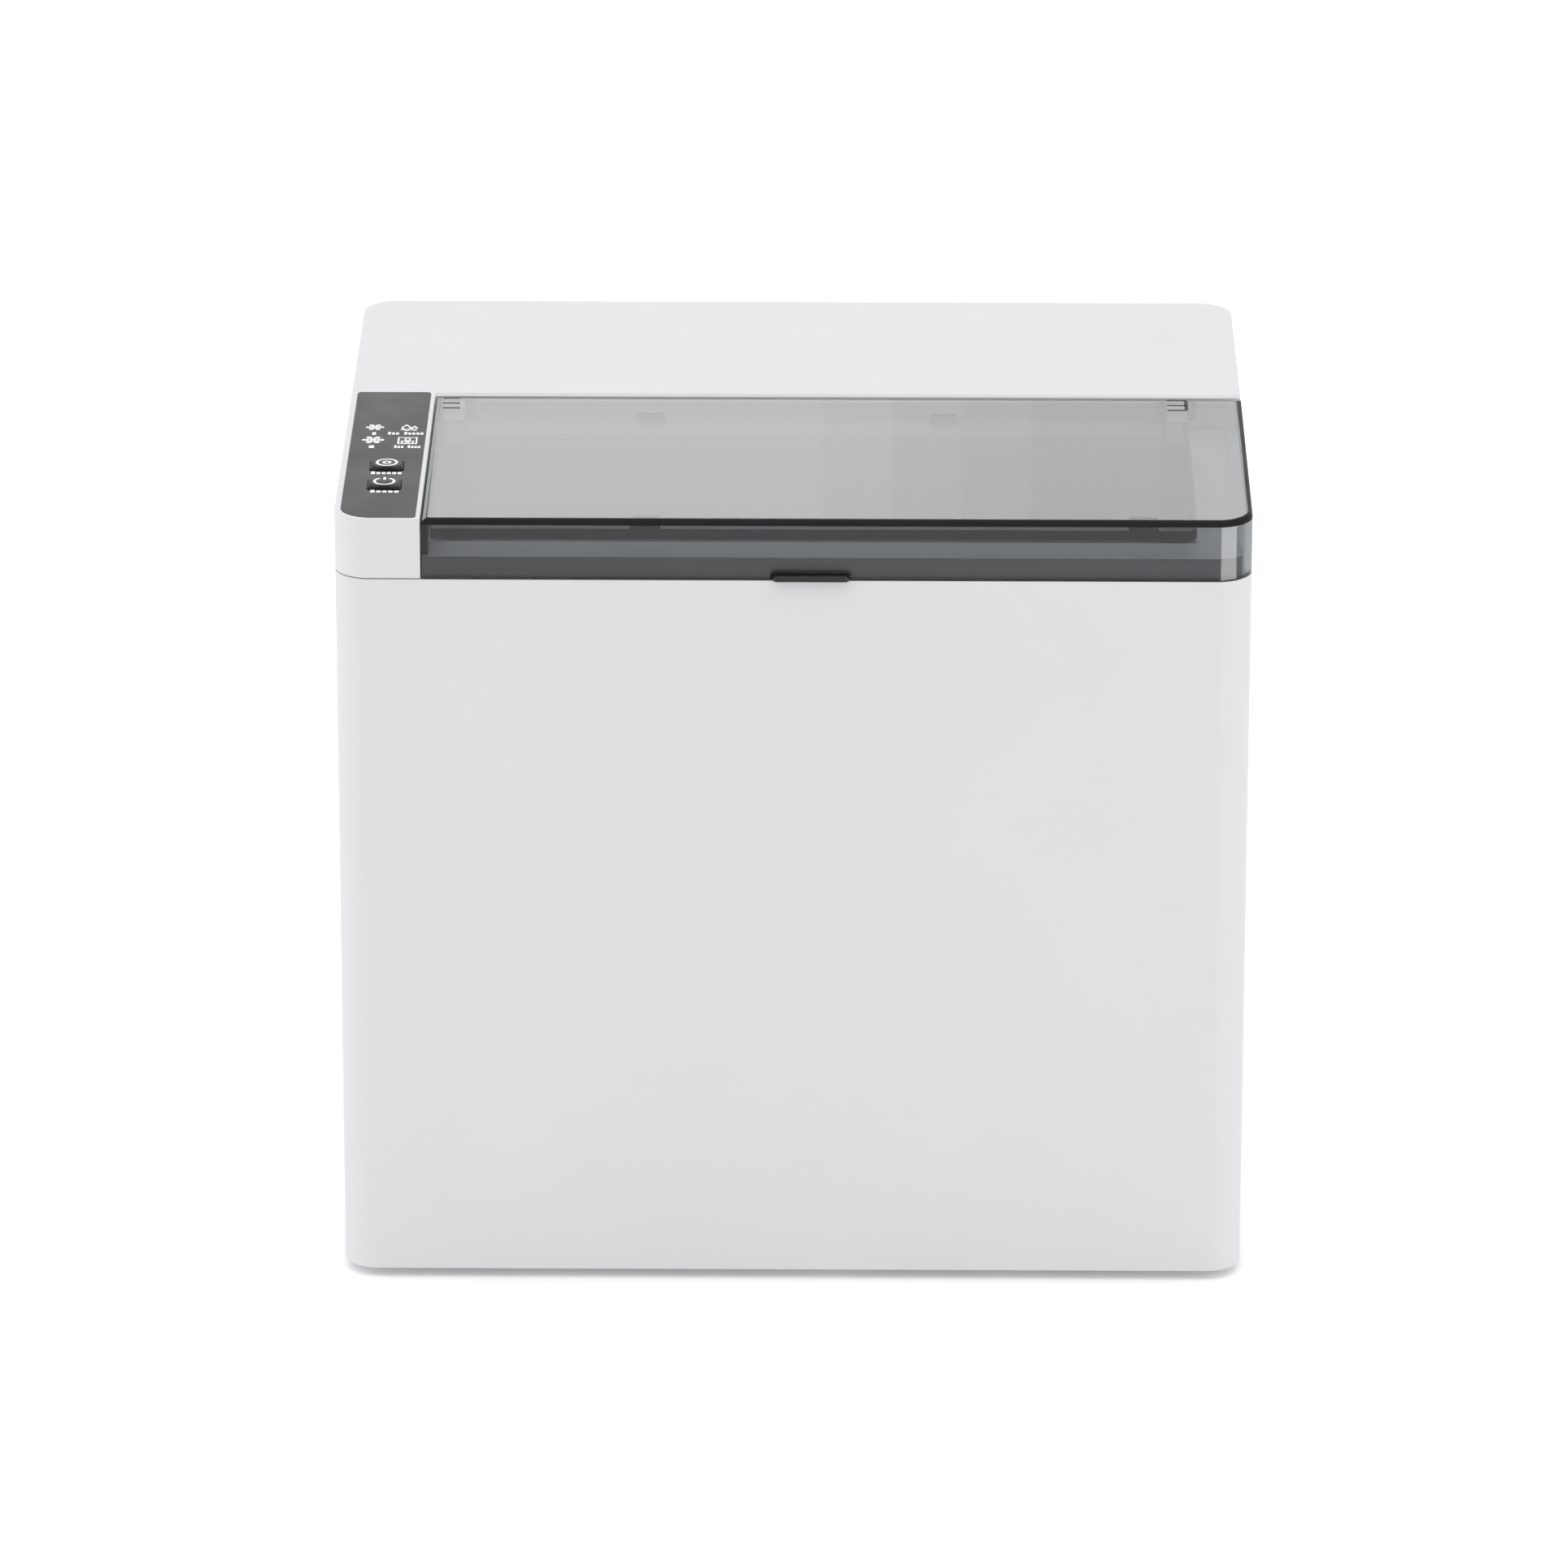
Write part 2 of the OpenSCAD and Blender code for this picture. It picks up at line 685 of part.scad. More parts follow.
module ice_basket() {
  a = basket_a;
  b = basket_b;
  t = basket_t;
  slot_pitch = 12;
  slots = floor((b[0] - a[0] - 24) / slot_pitch);
  color([0.93, 0.94, 0.95]) difference() {
    union() {
      block(a, b);
      block([a[0] - 1.5, a[1] - 1.5, b[2] - 3], [b[0] + 1.5, b[1] + 1.5, b[2]]);
    }
    block(a + [t, t, t], b + [-t, -t, 1]);
    for (i = [0:slots - 1]) {
      x = a[0] + 16 + i * slot_pitch;
      for (y = [a[1] + 12, (a[1] + b[1]) / 2 + 4]) block([x, y, a[2] - 1], [x + 5, y + 40, a[2] + t + 1]);
      block([x, a[1] - 1, a[2] + 14], [x + 5, a[1] + t + 1, a[2] + 62]);
      block([x, b[1] - t - 1, a[2] + 14], [x + 5, b[1] + 1, a[2] + 62]);
    }
    for (x = [a[0] - 2, b[0] - t - 1]) block([x, -88, b[2] - 26], [x + t + 3, -42, b[2] - 8]);
  }
}

module pump_body() {
  floor_z = chamber[0][2];
  color([0.15, 0.16, 0.18]) difference() {
    union() {
      rod_z(floor_z, floor_z + 26, pump_x, pump_y, 15);
      rod_z(floor_z + 25, floor_z + 44, pump_x, pump_y, 12);
      rod_x(pump_x, pump_x + 19, pump_y, floor_z + 8, 4.6);
    }
    rod_z(floor_z + 3, floor_z + 13, pump_x, pump_y, 12);
    rod_z(floor_z - 1, floor_z + 4, pump_x, pump_y, 5);
    rod_x(pump_x + 8, pump_x + 20, pump_y, floor_z + 8, 2.6);
    for (i = [0:5]) translate([pump_x, pump_y, 0]) rotate([0, 0, 30 + i * 60])
      block([2, -1.5, floor_z - 1], [16, 1.5, floor_z + 2]);
    rod_z(floor_z + 12, floor_z + 18, pump_x, pump_y, 1.5 + run_fit);
  }
}

module pump_impeller() {
  z0 = chamber[0][2] + 4;
  color([0.88, 0.88, 0.86]) {
    rod_z(z0, z0 + 1.5, pump_x, pump_y, 10);
    rod_z(z0, z0 + 7, pump_x, pump_y, 3.5);
    rod_z(z0 + 6.5, z0 + 13, pump_x, pump_y, 1.5);
    for (i = [0:5]) translate([pump_x, pump_y, z0 + 1]) rotate([0, 0, i * 60])
      block([2.5, -0.7, 0], [9.6, 0.7, 6]);
  }
}

module supply_hose() {
  z0 = chamber[0][2] + 8;
  x = chamber[1][0] - 5.5;
  back = chamber[1][1] - 6;
  drop_x = arm_x[1] - 7;
  route = [[pump_x + 19.1, pump_y, z0], [x, pump_y, z0], [x, back, z0 + 12], [x, back, hose_z],
           [x, hose_y, hose_z], [drop_x, hose_y, hose_z], [drop_x, hose_y, tray_z + 25]];
  color([0.85, 0.90, 0.92]) pipe(soft_path(route, 9), 4, [0, 0.9, 0.3]);
}

module level_probes() {
  color(steel) for (y = [29, 37]) rod_z(64, 112, chamber[0][0] + 4, y, 1);
  color([0.9, 0.9, 0.9]) block([chamber[0][0], 25, 112], [chamber[0][0] + 8, 41, 122]);
}

module ice_full_sensors() {
  color(black) for (x = [chamber[0][0], chamber[1][0] - 3.4])
    block([x, -36, 222], [x + 3.4, -24, 236]);
}

// ---------------------------------------------------------------- refrigeration

module compressor() {
  color(black) translate([comp_x, comp_y, 22])
    rotate_extrude() polygon([[0, 0], [33, 0], [comp_r, 8], [comp_r, 88], [37, 100], [28, 109], [0, 114]]);
}

module compressor_plate() {
  color(black) difference() {
    block([comp_x - 48, comp_y - 36, 19], [comp_x + 48, comp_y + 36, 22]);
    for (p = grommet_places) rod_z(18, 23, p[0], p[1], 3.5);
  }
}

grommet_places = [for (x = [comp_x - 41, comp_x + 41], y = [comp_y - 29, comp_y + 29]) [x, y]];

module compressor_grommets() {
  color([0.12, 0.12, 0.12]) for (p = grommet_places) {
    rod_z(foot_h + 2, 19, p[0], p[1], 7);
    rod_z(18.5, 22.5, p[0], p[1], 3.5);
    rod_z(22, 24, p[0], p[1], 5);
  }
}

module compressor_terminal_cover() {
  color([0.1, 0.1, 0.1]) difference() {
    block([comp_x - comp_r - 16, comp_y - 14, 62], [comp_x - comp_r + 4, comp_y + 14, 104]);
    rod_z(60, 106, comp_x, comp_y, comp_r + 0.1);
  }
}

cond_z0 = 34;
cond_step = 20;
cond_top = cond_z0 + (cond_rows - 1) * cond_step + 16;

module condenser_fins() {
  count = 16;
  pitch = (cond_y[1] - cond_y[0]) / (count - 1);
  color([0.78, 0.79, 0.80]) difference() {
    for (i = [0:count - 1])
      block([cond_x[0], cond_y[0] + i * pitch, 22], [cond_x[1], cond_y[0] + i * pitch + 0.8, 146]);
    for (i = [0:cond_rows - 1])
      rod_y(cond_y[0] - 2, cond_y[1] + 3, (cond_x[0] + cond_x[1]) / 2, cond_z0 + i * cond_step, 3.7);
  }
}

module condenser_tube() {
  x = (cond_x[0] + cond_x[1]) / 2;
  y0 = cond_y[0] - 4;
  y1 = cond_y[1] + 5;
  turns = [
    drier - [0, 0, 0.2], drier - [0, 0, 26], [58, y0, 24], [x, y0, 24],
    for (i = [0:cond_rows - 1])
      each i % 2 == 0 ? [[x, y0, cond_z0 + i * cond_step], [x, y1, cond_z0 + i * cond_step]]
                      : [[x, y1, cond_z0 + i * cond_step], [x, y0, cond_z0 + i * cond_step]],
    [x, y0, cond_top]
  ];
  color(copper) pipe(soft_path(turns, 4), 3.4, [1, 0, 0.2], 8);
}

fan_x = 132;

module fan_shroud() {
  x0 = fan_x;
  color([0.16, 0.17, 0.18]) difference() {
    union() {
      block([x0, 51, 8], [x0 + 3, 135, 128]);
      rod_x(x0, x0 + 30, fan_y, fan_z, fan_r + 5);
    }
    difference() {
      rod_x(x0 - 1, x0 + 31, fan_y, fan_z, fan_r + 3);
      for (i = [0:2]) translate([0, fan_y, fan_z]) rotate([i * 120 + 30, 0, 0])
        block([x0, -2, 8], [x0 + 3, 2, fan_r + 4]);
      rod_x(x0, x0 + 3, fan_y, fan_z, 16);
    }
    rod_x(x0 - 1, x0 + 4, fan_y, fan_z, 4);
  }
}

module fan_motor() {
  color([0.30, 0.31, 0.33]) {
    rod_x(fan_x - 24, fan_x, fan_y, fan_z, 15);
    rod_x(fan_x - 1, fan_x + 3, fan_y, fan_z, 4);
    rod_x(fan_x + 2, fan_x + 24, fan_y, fan_z, 2);
  }
}

module fan_blade() {
  color([0.22, 0.23, 0.25]) difference() {
    union() {
      rod_x(fan_x + 10, fan_x + 25, fan_y, fan_z, 10);
      for (i = [0:4]) translate([fan_x + 17.5, fan_y, fan_z]) rotate([i * 72, 0, 0])
        translate([0, 0, 8]) rotate([0, 0, 32]) block([-0.8, -11, 0], [0.8, 11, fan_r - 11]);
    }
    rod_x(fan_x + 9, fan_x + 24.5, fan_y, fan_z, 2 + run_fit);
  }
}

module filter_drier() {
  color(copper) translate(drier) rotate_extrude()
    polygon([[0, 0], [2, 0], [2, 6], [8, 12], [8, 72], [2, 78], [2, 86], [0, 86]]);
}

module capillary_tube() {
  coil_turns = 4;
  coil_r = 14;
  coil_c = [20, 84];
  coil = [
    for (i = [0:coil_turns * 14])
      [coil_c[0] + coil_r * sin(i * 360 / 14), coil_c[1] - coil_r * cos(i * 360 / 14), 196 + i * 3 / 14]
  ];
  lead_in = [drier + [0, 0, 86.2], drier + [0, 0, 110], [36, 68, 193], [27, 70, 196]];
  lead_out = [[30, 70, 209], [80, 60, 236], [124, 57, 256], [arm_x[1] + 1, 58, 264],
              [arm_x[1] + 1, 58, header_z - 5.1]];
  color(copper) pipe(concat(lead_in, coil, lead_out), 1, [0.1, 1, 0.1], 6);
}

module suction_line() {
  x = arm_x[0] - 3;
  route = [[x, 62, header_z], [x, 80, header_z], [x, 80, 176], [comp_x - 22, 84, 160],
           [comp_x - 22, 84, 132.9]];
  color(copper) pipe(soft_path(route, 10), 4, [0.2, 0.1, 1]);
}

module discharge_line() {
  x = (cond_x[0] + cond_x[1]) / 2;
  route = [[comp_x + 22, 104, 132.9], [comp_x + 22, 104, 158], [comp_x + 22, 124, 164], [x, 124, 164],
           [x, cond_y[0] - 4, 164], [x, cond_y[0] - 4, cond_top + 0.1]];
  color(copper) pipe(soft_path(route, 9), 3, [1, 0.2, 0.1]);
}

module hot_gas_valve() {
  color([0.75, 0.62, 0.30]) rod_z(190, 216, 104, 84, 7);
  color([0.15, 0.25, 0.45]) block([92, 72, 216], [116, 96, 244]);
}

module hot_gas_line() {
  top = [arm_x[1] + 1, 62.1, header_z];
  color(copper) {
    pipe(soft_path([[-22, 124, 167.1], [-22, 124, 185], [104, 124, 182], [104, 124, 203],
                    [104, 91.1, 203]], 8), 2.6);
    pipe(soft_path([[104, 84, 244.1], [104, 84, 262], [top[0], 84, 270], [top[0], 84, header_z],
                    top], 8), 2.6, [0.8, 0.1, 0.1]);
  }
}

// ---------------------------------------------------------------- electrics and drain

module main_board() {
  x = -half_w + wall;
  color([0.12, 0.36, 0.20]) {
    block([x + 4, 58, 176], [x + 5.6, 128, 270]);
    for (y = [63, 123], z = [181, 265]) rod_x(x, x + 5, y, z, 2.5);
  }
  color([0.9, 0.75, 0.2]) block([x + 5.6, 66, 186], [x + 27, 92, 214]);
  color([0.15, 0.15, 0.6]) for (i = [0:2]) block([x + 5.6, 100, 186 + i * 20], [x + 19, 118, 202 + i * 20]);
  color(black) for (y = [70, 84]) rod_x(x + 5.6, x + 24, y, 234, 5);
  color([0.9, 0.9, 0.85]) block([x + 5.6, 64, 252], [x + 12, 120, 260]);
}

module wiring_harness() {
  route = [[-162, 2.5, board_z - 3], [-162, 20, board_z - 3], [-163, 52, 306], [-165, 72, 296],
           [-167, 80, 276], [-168.2, 80, 260.5]];
  color([0.2, 0.2, 0.22]) pipe(soft_path(route, 8), 2.2, [0.1, 0.2, 1], 8);
}

module power_inlet() {
  y = half_d;
  color(black) difference() {
    union() {
      block([inlet_x - 14, y - 24, inlet_z - 10], [inlet_x + 14, y + 0.5, inlet_z + 10]);
      block([inlet_x - 24, y, inlet_z - 13], [inlet_x + 24, y + 2, inlet_z + 13]);
    }
    block([inlet_x - 12, y - 17, inlet_z - 8], [inlet_x + 12, y + 3, inlet_z + 8]);
    for (s = [-1, 1]) rod_y(y - 1, y + 3, inlet_x + s * 19.5, inlet_z, 1.6);
  }
  color(steel) for (p = [[-7, -3], [0, 0.6], [7, -3]])
    block([inlet_x + p[0] - 1, y - 18, inlet_z + p[1] - 2], [inlet_x + p[0] + 1, y - 3, inlet_z + p[1] + 2]);
}

module drain_spout() {
  color([0.86, 0.87, 0.89]) difference() {
    union() {
      rod_y(chamber[1][1], half_d + 1, drain_x, drain_z, 7);
      rod_y(half_d, half_d + 1, drain_x, drain_z, 11);
      rod_y(chamber[1][1] + liner_t, chamber[1][1] + liner_t + 2, drain_x, drain_z, 11);
    }
    rod_y(chamber[1][1] - 1, half_d + 2, drain_x, drain_z, 5);
  }
}

module drain_plug() {
  color(black) {
    rod_y(half_d - 14, half_d + 2, drain_x, drain_z, 5 - run_fit);
    rod_y(half_d + 1.3, half_d + spacer_t, drain_x, drain_z, 9);
  }
}

// ---------------------------------------------------------------- nodes

base_pan();
feet();
base_screws();
front_side_cover();
rear_panel();
rear_panel_screws();
rear_spacers();
top_cover();
hinge_brackets();
tub_rim();
control_label();
control_board();
tact_switches();
indicator_leds();
select_button();
power_button();
lid_cover();
lid_inner_panel();
hinge_pins();
inner_liner();
liner_foam();
evaporator_cover();
evaporator_tube();
freezing_fingers();
water_tray();
tray_shaft();
ice_shovel();
tray_gearmotor();
tray_bush();
ice_basket();
pump_body();
pump_impeller();
supply_hose();
level_probes();
ice_full_sensors();
compressor();
compressor_plate();
compressor_grommets();
compressor_terminal_cover();
condenser_fins();
condenser_tube();
fan_shroud();
fan_motor();
fan_blade();
filter_drier();
capillary_tube();
suction_line();
discharge_line();
hot_gas_line();
hot_gas_valve();
main_board();
wiring_harness();
power_inlet();
drain_spout();
drain_plug();
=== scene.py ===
"""Looks of the countertop ice maker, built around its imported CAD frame. Metres, +Z up, front at -Y."""

import json
import math

import bmesh
import bpy
from mathutils import Matrix, Vector


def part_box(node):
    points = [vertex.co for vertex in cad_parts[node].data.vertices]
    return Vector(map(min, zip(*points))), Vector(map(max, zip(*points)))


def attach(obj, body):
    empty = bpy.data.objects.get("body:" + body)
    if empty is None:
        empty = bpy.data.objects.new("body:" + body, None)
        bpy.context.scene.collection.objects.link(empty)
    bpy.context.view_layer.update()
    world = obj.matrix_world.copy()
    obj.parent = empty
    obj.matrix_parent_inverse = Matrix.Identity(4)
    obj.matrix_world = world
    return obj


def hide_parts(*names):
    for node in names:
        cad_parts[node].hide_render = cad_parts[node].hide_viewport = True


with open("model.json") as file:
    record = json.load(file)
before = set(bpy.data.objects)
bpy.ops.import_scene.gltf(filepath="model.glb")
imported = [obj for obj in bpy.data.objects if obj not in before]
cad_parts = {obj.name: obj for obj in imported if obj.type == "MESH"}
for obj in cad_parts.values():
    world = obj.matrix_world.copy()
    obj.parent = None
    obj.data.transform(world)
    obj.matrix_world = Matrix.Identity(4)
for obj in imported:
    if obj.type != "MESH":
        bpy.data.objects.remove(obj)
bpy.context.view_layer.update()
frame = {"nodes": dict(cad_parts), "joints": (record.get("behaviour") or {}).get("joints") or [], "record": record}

MM = 0.001
nodes = frame["nodes"]
record = frame["record"]
node_body = {n: body for body, group in record["behaviour"]["bodies"].items() for n in group}
node_slot = {s["node"]: s["material_slot"] for s in record["subparts"]}

# ------------------------------------------------------------------ camera

VIEW_PITCH = math.radians(20.5)   # looks down by this much
VIEW_YAW = math.radians(0.435)    # and a little to the left
VIEW_ROLL = math.radians(0.059)
VIEW_FROM = Vector((0.0247, -3.8531, 1.6004))
LENS_MM = 230.8
SENSOR_MM = 36.0


def add_camera():
    data = bpy.data.cameras.new("camera")
    data.lens = LENS_MM
    data.sensor_width = SENSOR_MM
    data.clip_start = 0.1
    data.clip_end = 40.0
    camera = bpy.data.objects.new("camera", data)
    turn = Matrix.Rotation(VIEW_YAW, 4, "Z") @ Matrix.Rotation(math.pi / 2 - VIEW_PITCH, 4, "X")
    camera.matrix_world = Matrix.Translation(VIEW_FROM) @ turn @ Matrix.Rotation(VIEW_ROLL, 4, "Z")
    bpy.context.scene.collection.objects.link(camera)
    bpy.context.scene.camera = camera


# ------------------------------------------------------------------ studio


def add_area(name, place, target, size, power, diffuse=True):
    """Soft rectangular light at place, aimed at target. Without diffuse it only shows as a reflection."""
    data = bpy.data.lights.new(name, "AREA")
    data.shape = "RECTANGLE"
    data.size, data.size_y = size
    data.energy = power
    light = bpy.data.objects.new(name, data)
    aim = (Vector(target) - Vector(place)).to_track_quat("-Z", "Y").to_matrix().to_4x4()
    light.matrix_world = Matrix.Translation(place) @ aim
    light.visible_camera = False
    light.visible_diffuse = diffuse
    light.visible_transmission = False
    bpy.context.scene.collection.objects.link(light)


# Strips of the rear softbox, which the lid mirrors: left and right ends, and watts per metre of width
REAR_STRIPS = ((-0.5, 0.0, 2.40), (0.0, 0.05, 2.25), (0.05, 0.1, 2.07), (0.1, 0.15, 1.91), (0.15, 0.5, 1.74))
REAR_HEIGHT = 0.5
SIDE_SIZE = (1.6, 1.6)
SIDE_AIM = (0, 0, 0.15)
WORLD_STRENGTH = 0.87
FLOOR_HALF = 12.0
FLOOR_GLOW = 0.14   # keeps the floor white under the object


def add_world():
    world = bpy.data.worlds.new("studio")
    world.use_nodes = True
    back = world.node_tree.nodes["Background"]
    back.inputs["Color"].default_value = (1.0, 1.0, 1.0, 1.0)
    back.inputs["Strength"].default_value = WORLD_STRENGTH
    bpy.context.scene.world = world


def add_lights():
    """Each light: where it is, what it is aimed at, its width and height, and its power in watts."""
    add_area("ceiling_softbox", (0.0, 0.3, 3.2), (0, 0.3, 0), (5.0, 5.0), 46.0)
    for number, (left, right, power) in enumerate(REAR_STRIPS):
        middle = (left + right) / 2
        size = (right - left, REAR_HEIGHT)
        add_area(f"rear_softbox_{number}", (middle, 3.0, 1.36), (middle, 0, 0.32), size, power * size[0],
                 diffuse=False)
    add_area("left_softbox", (-2.2, 0.0, 0.9), SIDE_AIM, SIDE_SIZE, 7.0)
    add_area("right_softbox", (2.2, 0.0, 0.9), SIDE_AIM, SIDE_SIZE, 4.8)
    add_area("right_card", (0.52, -0.56, 0.09), (0.16, -0.13, 0.30), (0.55, 0.26), 2.9, diffuse=False)


def add_floor():
    corners = [(-FLOOR_HALF, -FLOOR_HALF, 0), (FLOOR_HALF, -FLOOR_HALF, 0),
               (FLOOR_HALF, FLOOR_HALF, 0), (-FLOOR_HALF, FLOOR_HALF, 0)]
    mesh = bpy.data.meshes.new("floor")
    mesh.from_pydata(corners, [], [(0, 1, 2, 3)])
    floor = bpy.data.objects.new("floor", mesh)
    bpy.context.scene.collection.objects.link(floor)
    paint = plastic("floor_paint", (0.96, 0.96, 0.96), 0.9, 30.0, 0.0, 0.004, 0.1)
    shader = paint.node_tree.nodes["Principled BSDF"]
    shader.inputs["Emission Color"].default_value = (1, 1, 1, 1)
    shader.inputs["Emission Strength"].default_value = FLOOR_GLOW
    mesh.materials.append(paint)


def add_studio():
    add_world()
    add_lights()
    add_floor()
    bpy.context.scene.view_settings.view_transform = "Standard"


# ------------------------------------------------------------------ materials


def node_material(name):
    material = bpy.data.materials.new(name)
    material.use_nodes = True
    tree = material.node_tree
    return material, tree, tree.nodes["Principled BSDF"]


def noise(tree, scale, detail=3.0, stretch=(1, 1, 1)):
    """A noise value over the object's own coordinates."""
    coords = tree.nodes.new("ShaderNodeTexCoord")
    mapping = tree.nodes.new("ShaderNodeMapping")
    mapping.inputs["Scale"].default_value = stretch
    texture = tree.nodes.new("ShaderNodeTexNoise")
    texture.inputs["Scale"].default_value = scale
    texture.inputs["Detail"].default_value = detail
    tree.links.new(coords.outputs["Object"], mapping.inputs["Vector"])
    tree.links.new(mapping.outputs["Vector"], texture.inputs["Vector"])
    return texture.outputs["Fac"]


NOISE_LOW, NOISE_HIGH = 0.3, 0.7   # nearly all of a noise value lies between these


def spread(tree, value, low, high):
    """A noise value carried to the range low to high."""
    node = tree.nodes.new("ShaderNodeMapRange")
    node.inputs["From Min"].default_value = NOISE_LOW
    node.inputs["From Max"].default_value = NOISE_HIGH
    node.inputs["To Min"].default_value = low
    node.inputs["To Max"].default_value = high
    tree.links.new(value, node.inputs["Value"])
    return node.outputs["Result"]


def tint(tree, value, color, amount):
    """The colour, darker and lighter by amount as the value changes."""
    ramp = tree.nodes.new("ShaderNodeValToRGB")
    dark, light = ramp.color_ramp.elements
    dark.position, light.position = NOISE_LOW, NOISE_HIGH
    dark.color = [c * (1 - amount) for c in color] + [1]
    light.color = [min(1, c * (1 + amount)) for c in color] + [1]
    tree.links.new(value, ramp.inputs["Fac"])
    return ramp.outputs["Color"]


def grain(tree, shader, value, depth):
    """Surface grain of the given depth, as a bump."""
    bump = tree.nodes.new("ShaderNodeBump")
    bump.inputs["Strength"].default_value = 1.0
    bump.inputs["Distance"].default_value = depth
    tree.links.new(value, bump.inputs["Height"])
    tree.links.new(bump.outputs["Normal"], shader.inputs["Normal"])


TONE_SCALE = 14.0    # how fine the changes of tone are, and of gloss
GLOSS_SCALE = 40.0
GLOSS_CHANGE = 0.12


def plastic(name, color, rough, scale, depth, variation, specular=0.5, metal=0.0, stretch=(1, 1, 1)):
    """Moulded plastic, paint, rubber or metal: fine surface grain, and slight changes of tone and gloss."""
    material, tree, shader = node_material(name)
    tone = tint(tree, noise(tree, TONE_SCALE), color, variation)
    glossy, dull = rough * (1 - GLOSS_CHANGE), min(1, rough * (1 + GLOSS_CHANGE))
    gloss = spread(tree, noise(tree, GLOSS_SCALE), glossy, dull)
    tree.links.new(tone, shader.inputs["Base Color"])
    tree.links.new(gloss, shader.inputs["Roughness"])
    if depth > 0:
        grain(tree, shader, noise(tree, scale, 2.0, stretch), depth)
    shader.inputs["Specular IOR Level"].default_value = specular
    shader.inputs["Metallic"].default_value = metal
    return material


ACRYLIC_IOR = 1.49
SMOKED_ROUGH = (0.0048, 0.012)            # from the glossiest spots to the dullest
SMOKED_SHADOW = (0.95, 0.955, 0.96, 1)    # how much of a lamp's light each surface lets through


def smoked(name, color, density):
    """Clear smoked plastic: glass that darkens with the distance light goes through it, and lets lamps in."""
    material, tree, shader = node_material(name)
    shader.inputs["Base Color"].default_value = (1, 1, 1, 1)
    shader.inputs["Transmission Weight"].default_value = 1.0
    shader.inputs["IOR"].default_value = ACRYLIC_IOR
    tree.links.new(spread(tree, noise(tree, 60.0), *SMOKED_ROUGH), shader.inputs["Roughness"])
    volume = tree.nodes.new("ShaderNodeVolumeAbsorption")
    volume.inputs["Color"].default_value = (*color, 1)
    volume.inputs["Density"].default_value = density
    output = tree.nodes["Material Output"]
    tree.links.new(volume.outputs["Volume"], output.inputs["Volume"])
    clear = tree.nodes.new("ShaderNodeBsdfTransparent")
    clear.inputs["Color"].default_value = SMOKED_SHADOW
    path = tree.nodes.new("ShaderNodeLightPath")
    mix = tree.nodes.new("ShaderNodeMixShader")
    tree.links.new(path.outputs["Is Shadow Ray"], mix.inputs["Fac"])
    tree.links.new(shader.outputs["BSDF"], mix.inputs[1])
    tree.links.new(clear.outputs["BSDF"], mix.inputs[2])
    tree.links.new(mix.outputs["Shader"], output.inputs["Surface"])
    return material


# Each look: colour, roughness, how fine the grain is, its depth, the change of tone, and the specular level
PLASTICS = {
    "case_plastic": ((0.668, 0.668, 0.682), 0.6, 1400.0, 0.006 * MM, 0.006, 0.35),
    "label_film": ((0.058, 0.058, 0.061), 0.55, 1600.0, 0.008 * MM, 0.02),
    "button_plastic": ((0.005, 0.005, 0.006), 0.25, 900.0, 0.002 * MM, 0.1, 0.1),
    "rim_plastic": ((0.84, 0.85, 0.86), 0.45, 1200.0, 0.01 * MM, 0.012),
    "liner_plastic": ((0.66, 0.67, 0.69), 0.30, 500.0, 0.01 * MM, 0.012),
    "unit_plastic": ((0.74, 0.74, 0.75), 0.40, 1100.0, 0.01 * MM, 0.012),
    "basket_plastic": ((0.72, 0.73, 0.75), 0.28, 700.0, 0.01 * MM, 0.012),
    "dark_plastic": ((0.030, 0.031, 0.034), 0.5, 1300.0, 0.02 * MM, 0.08),
    "nylon": ((0.74, 0.71, 0.62), 0.5, 900.0, 0.01 * MM, 0.03),
    "silicone": ((0.62, 0.66, 0.68), 0.4, 600.0, 0.01 * MM, 0.03),
    "black_rubber": ((0.022, 0.022, 0.023), 0.8, 700.0, 0.04 * MM, 0.12, 0.3),
    "foam": ((0.86, 0.84, 0.78), 0.9, 260.0, 0.25 * MM, 0.04, 0.2),
    "black_painted_steel": ((0.014, 0.014, 0.016), 0.3, 260.0, 0.02 * MM, 0.1),
    "circuit_board": ((0.015, 0.105, 0.045), 0.35, 500.0, 0.02 * MM, 0.15),
    "led_plastic": ((0.82, 0.84, 0.86), 0.15, 500.0, 0.005 * MM, 0.02),
}
METALS = {
    "galvanised_steel": ((0.56, 0.57, 0.59), 0.45, 120.0, 0.03 * MM, 0.12),
    "stainless_steel": ((0.62, 0.62, 0.63), 0.25, 900.0, 0.006 * MM, 0.05),
    "copper": ((0.78, 0.36, 0.22), 0.32, 200.0, 0.02 * MM, 0.12),
    "fin_aluminium": ((0.78, 0.79, 0.80), 0.35, 400.0, 0.02 * MM, 0.05),
    "valve_brass": ((0.76, 0.56, 0.26), 0.3, 300.0, 0.01 * MM, 0.08),
}
BRUSHED = {"stainless_steel": (1, 12, 12)}   # grain drawn out along x

MATERIALS = {name: plastic(name, *look) for name, look in PLASTICS.items()}
for name, look in METALS.items():
    MATERIALS[name] = plastic(name, *look, metal=1.0, stretch=BRUSHED.get(name, (1, 1, 1)))
MATERIALS["smoked_plastic"] = smoked("smoked_plastic", (0.30, 0.34, 0.37), 335.0)
MATERIALS["smoked_inner_plastic"] = smoked("smoked_inner_plastic", (0.40, 0.43, 0.46), 160.0)

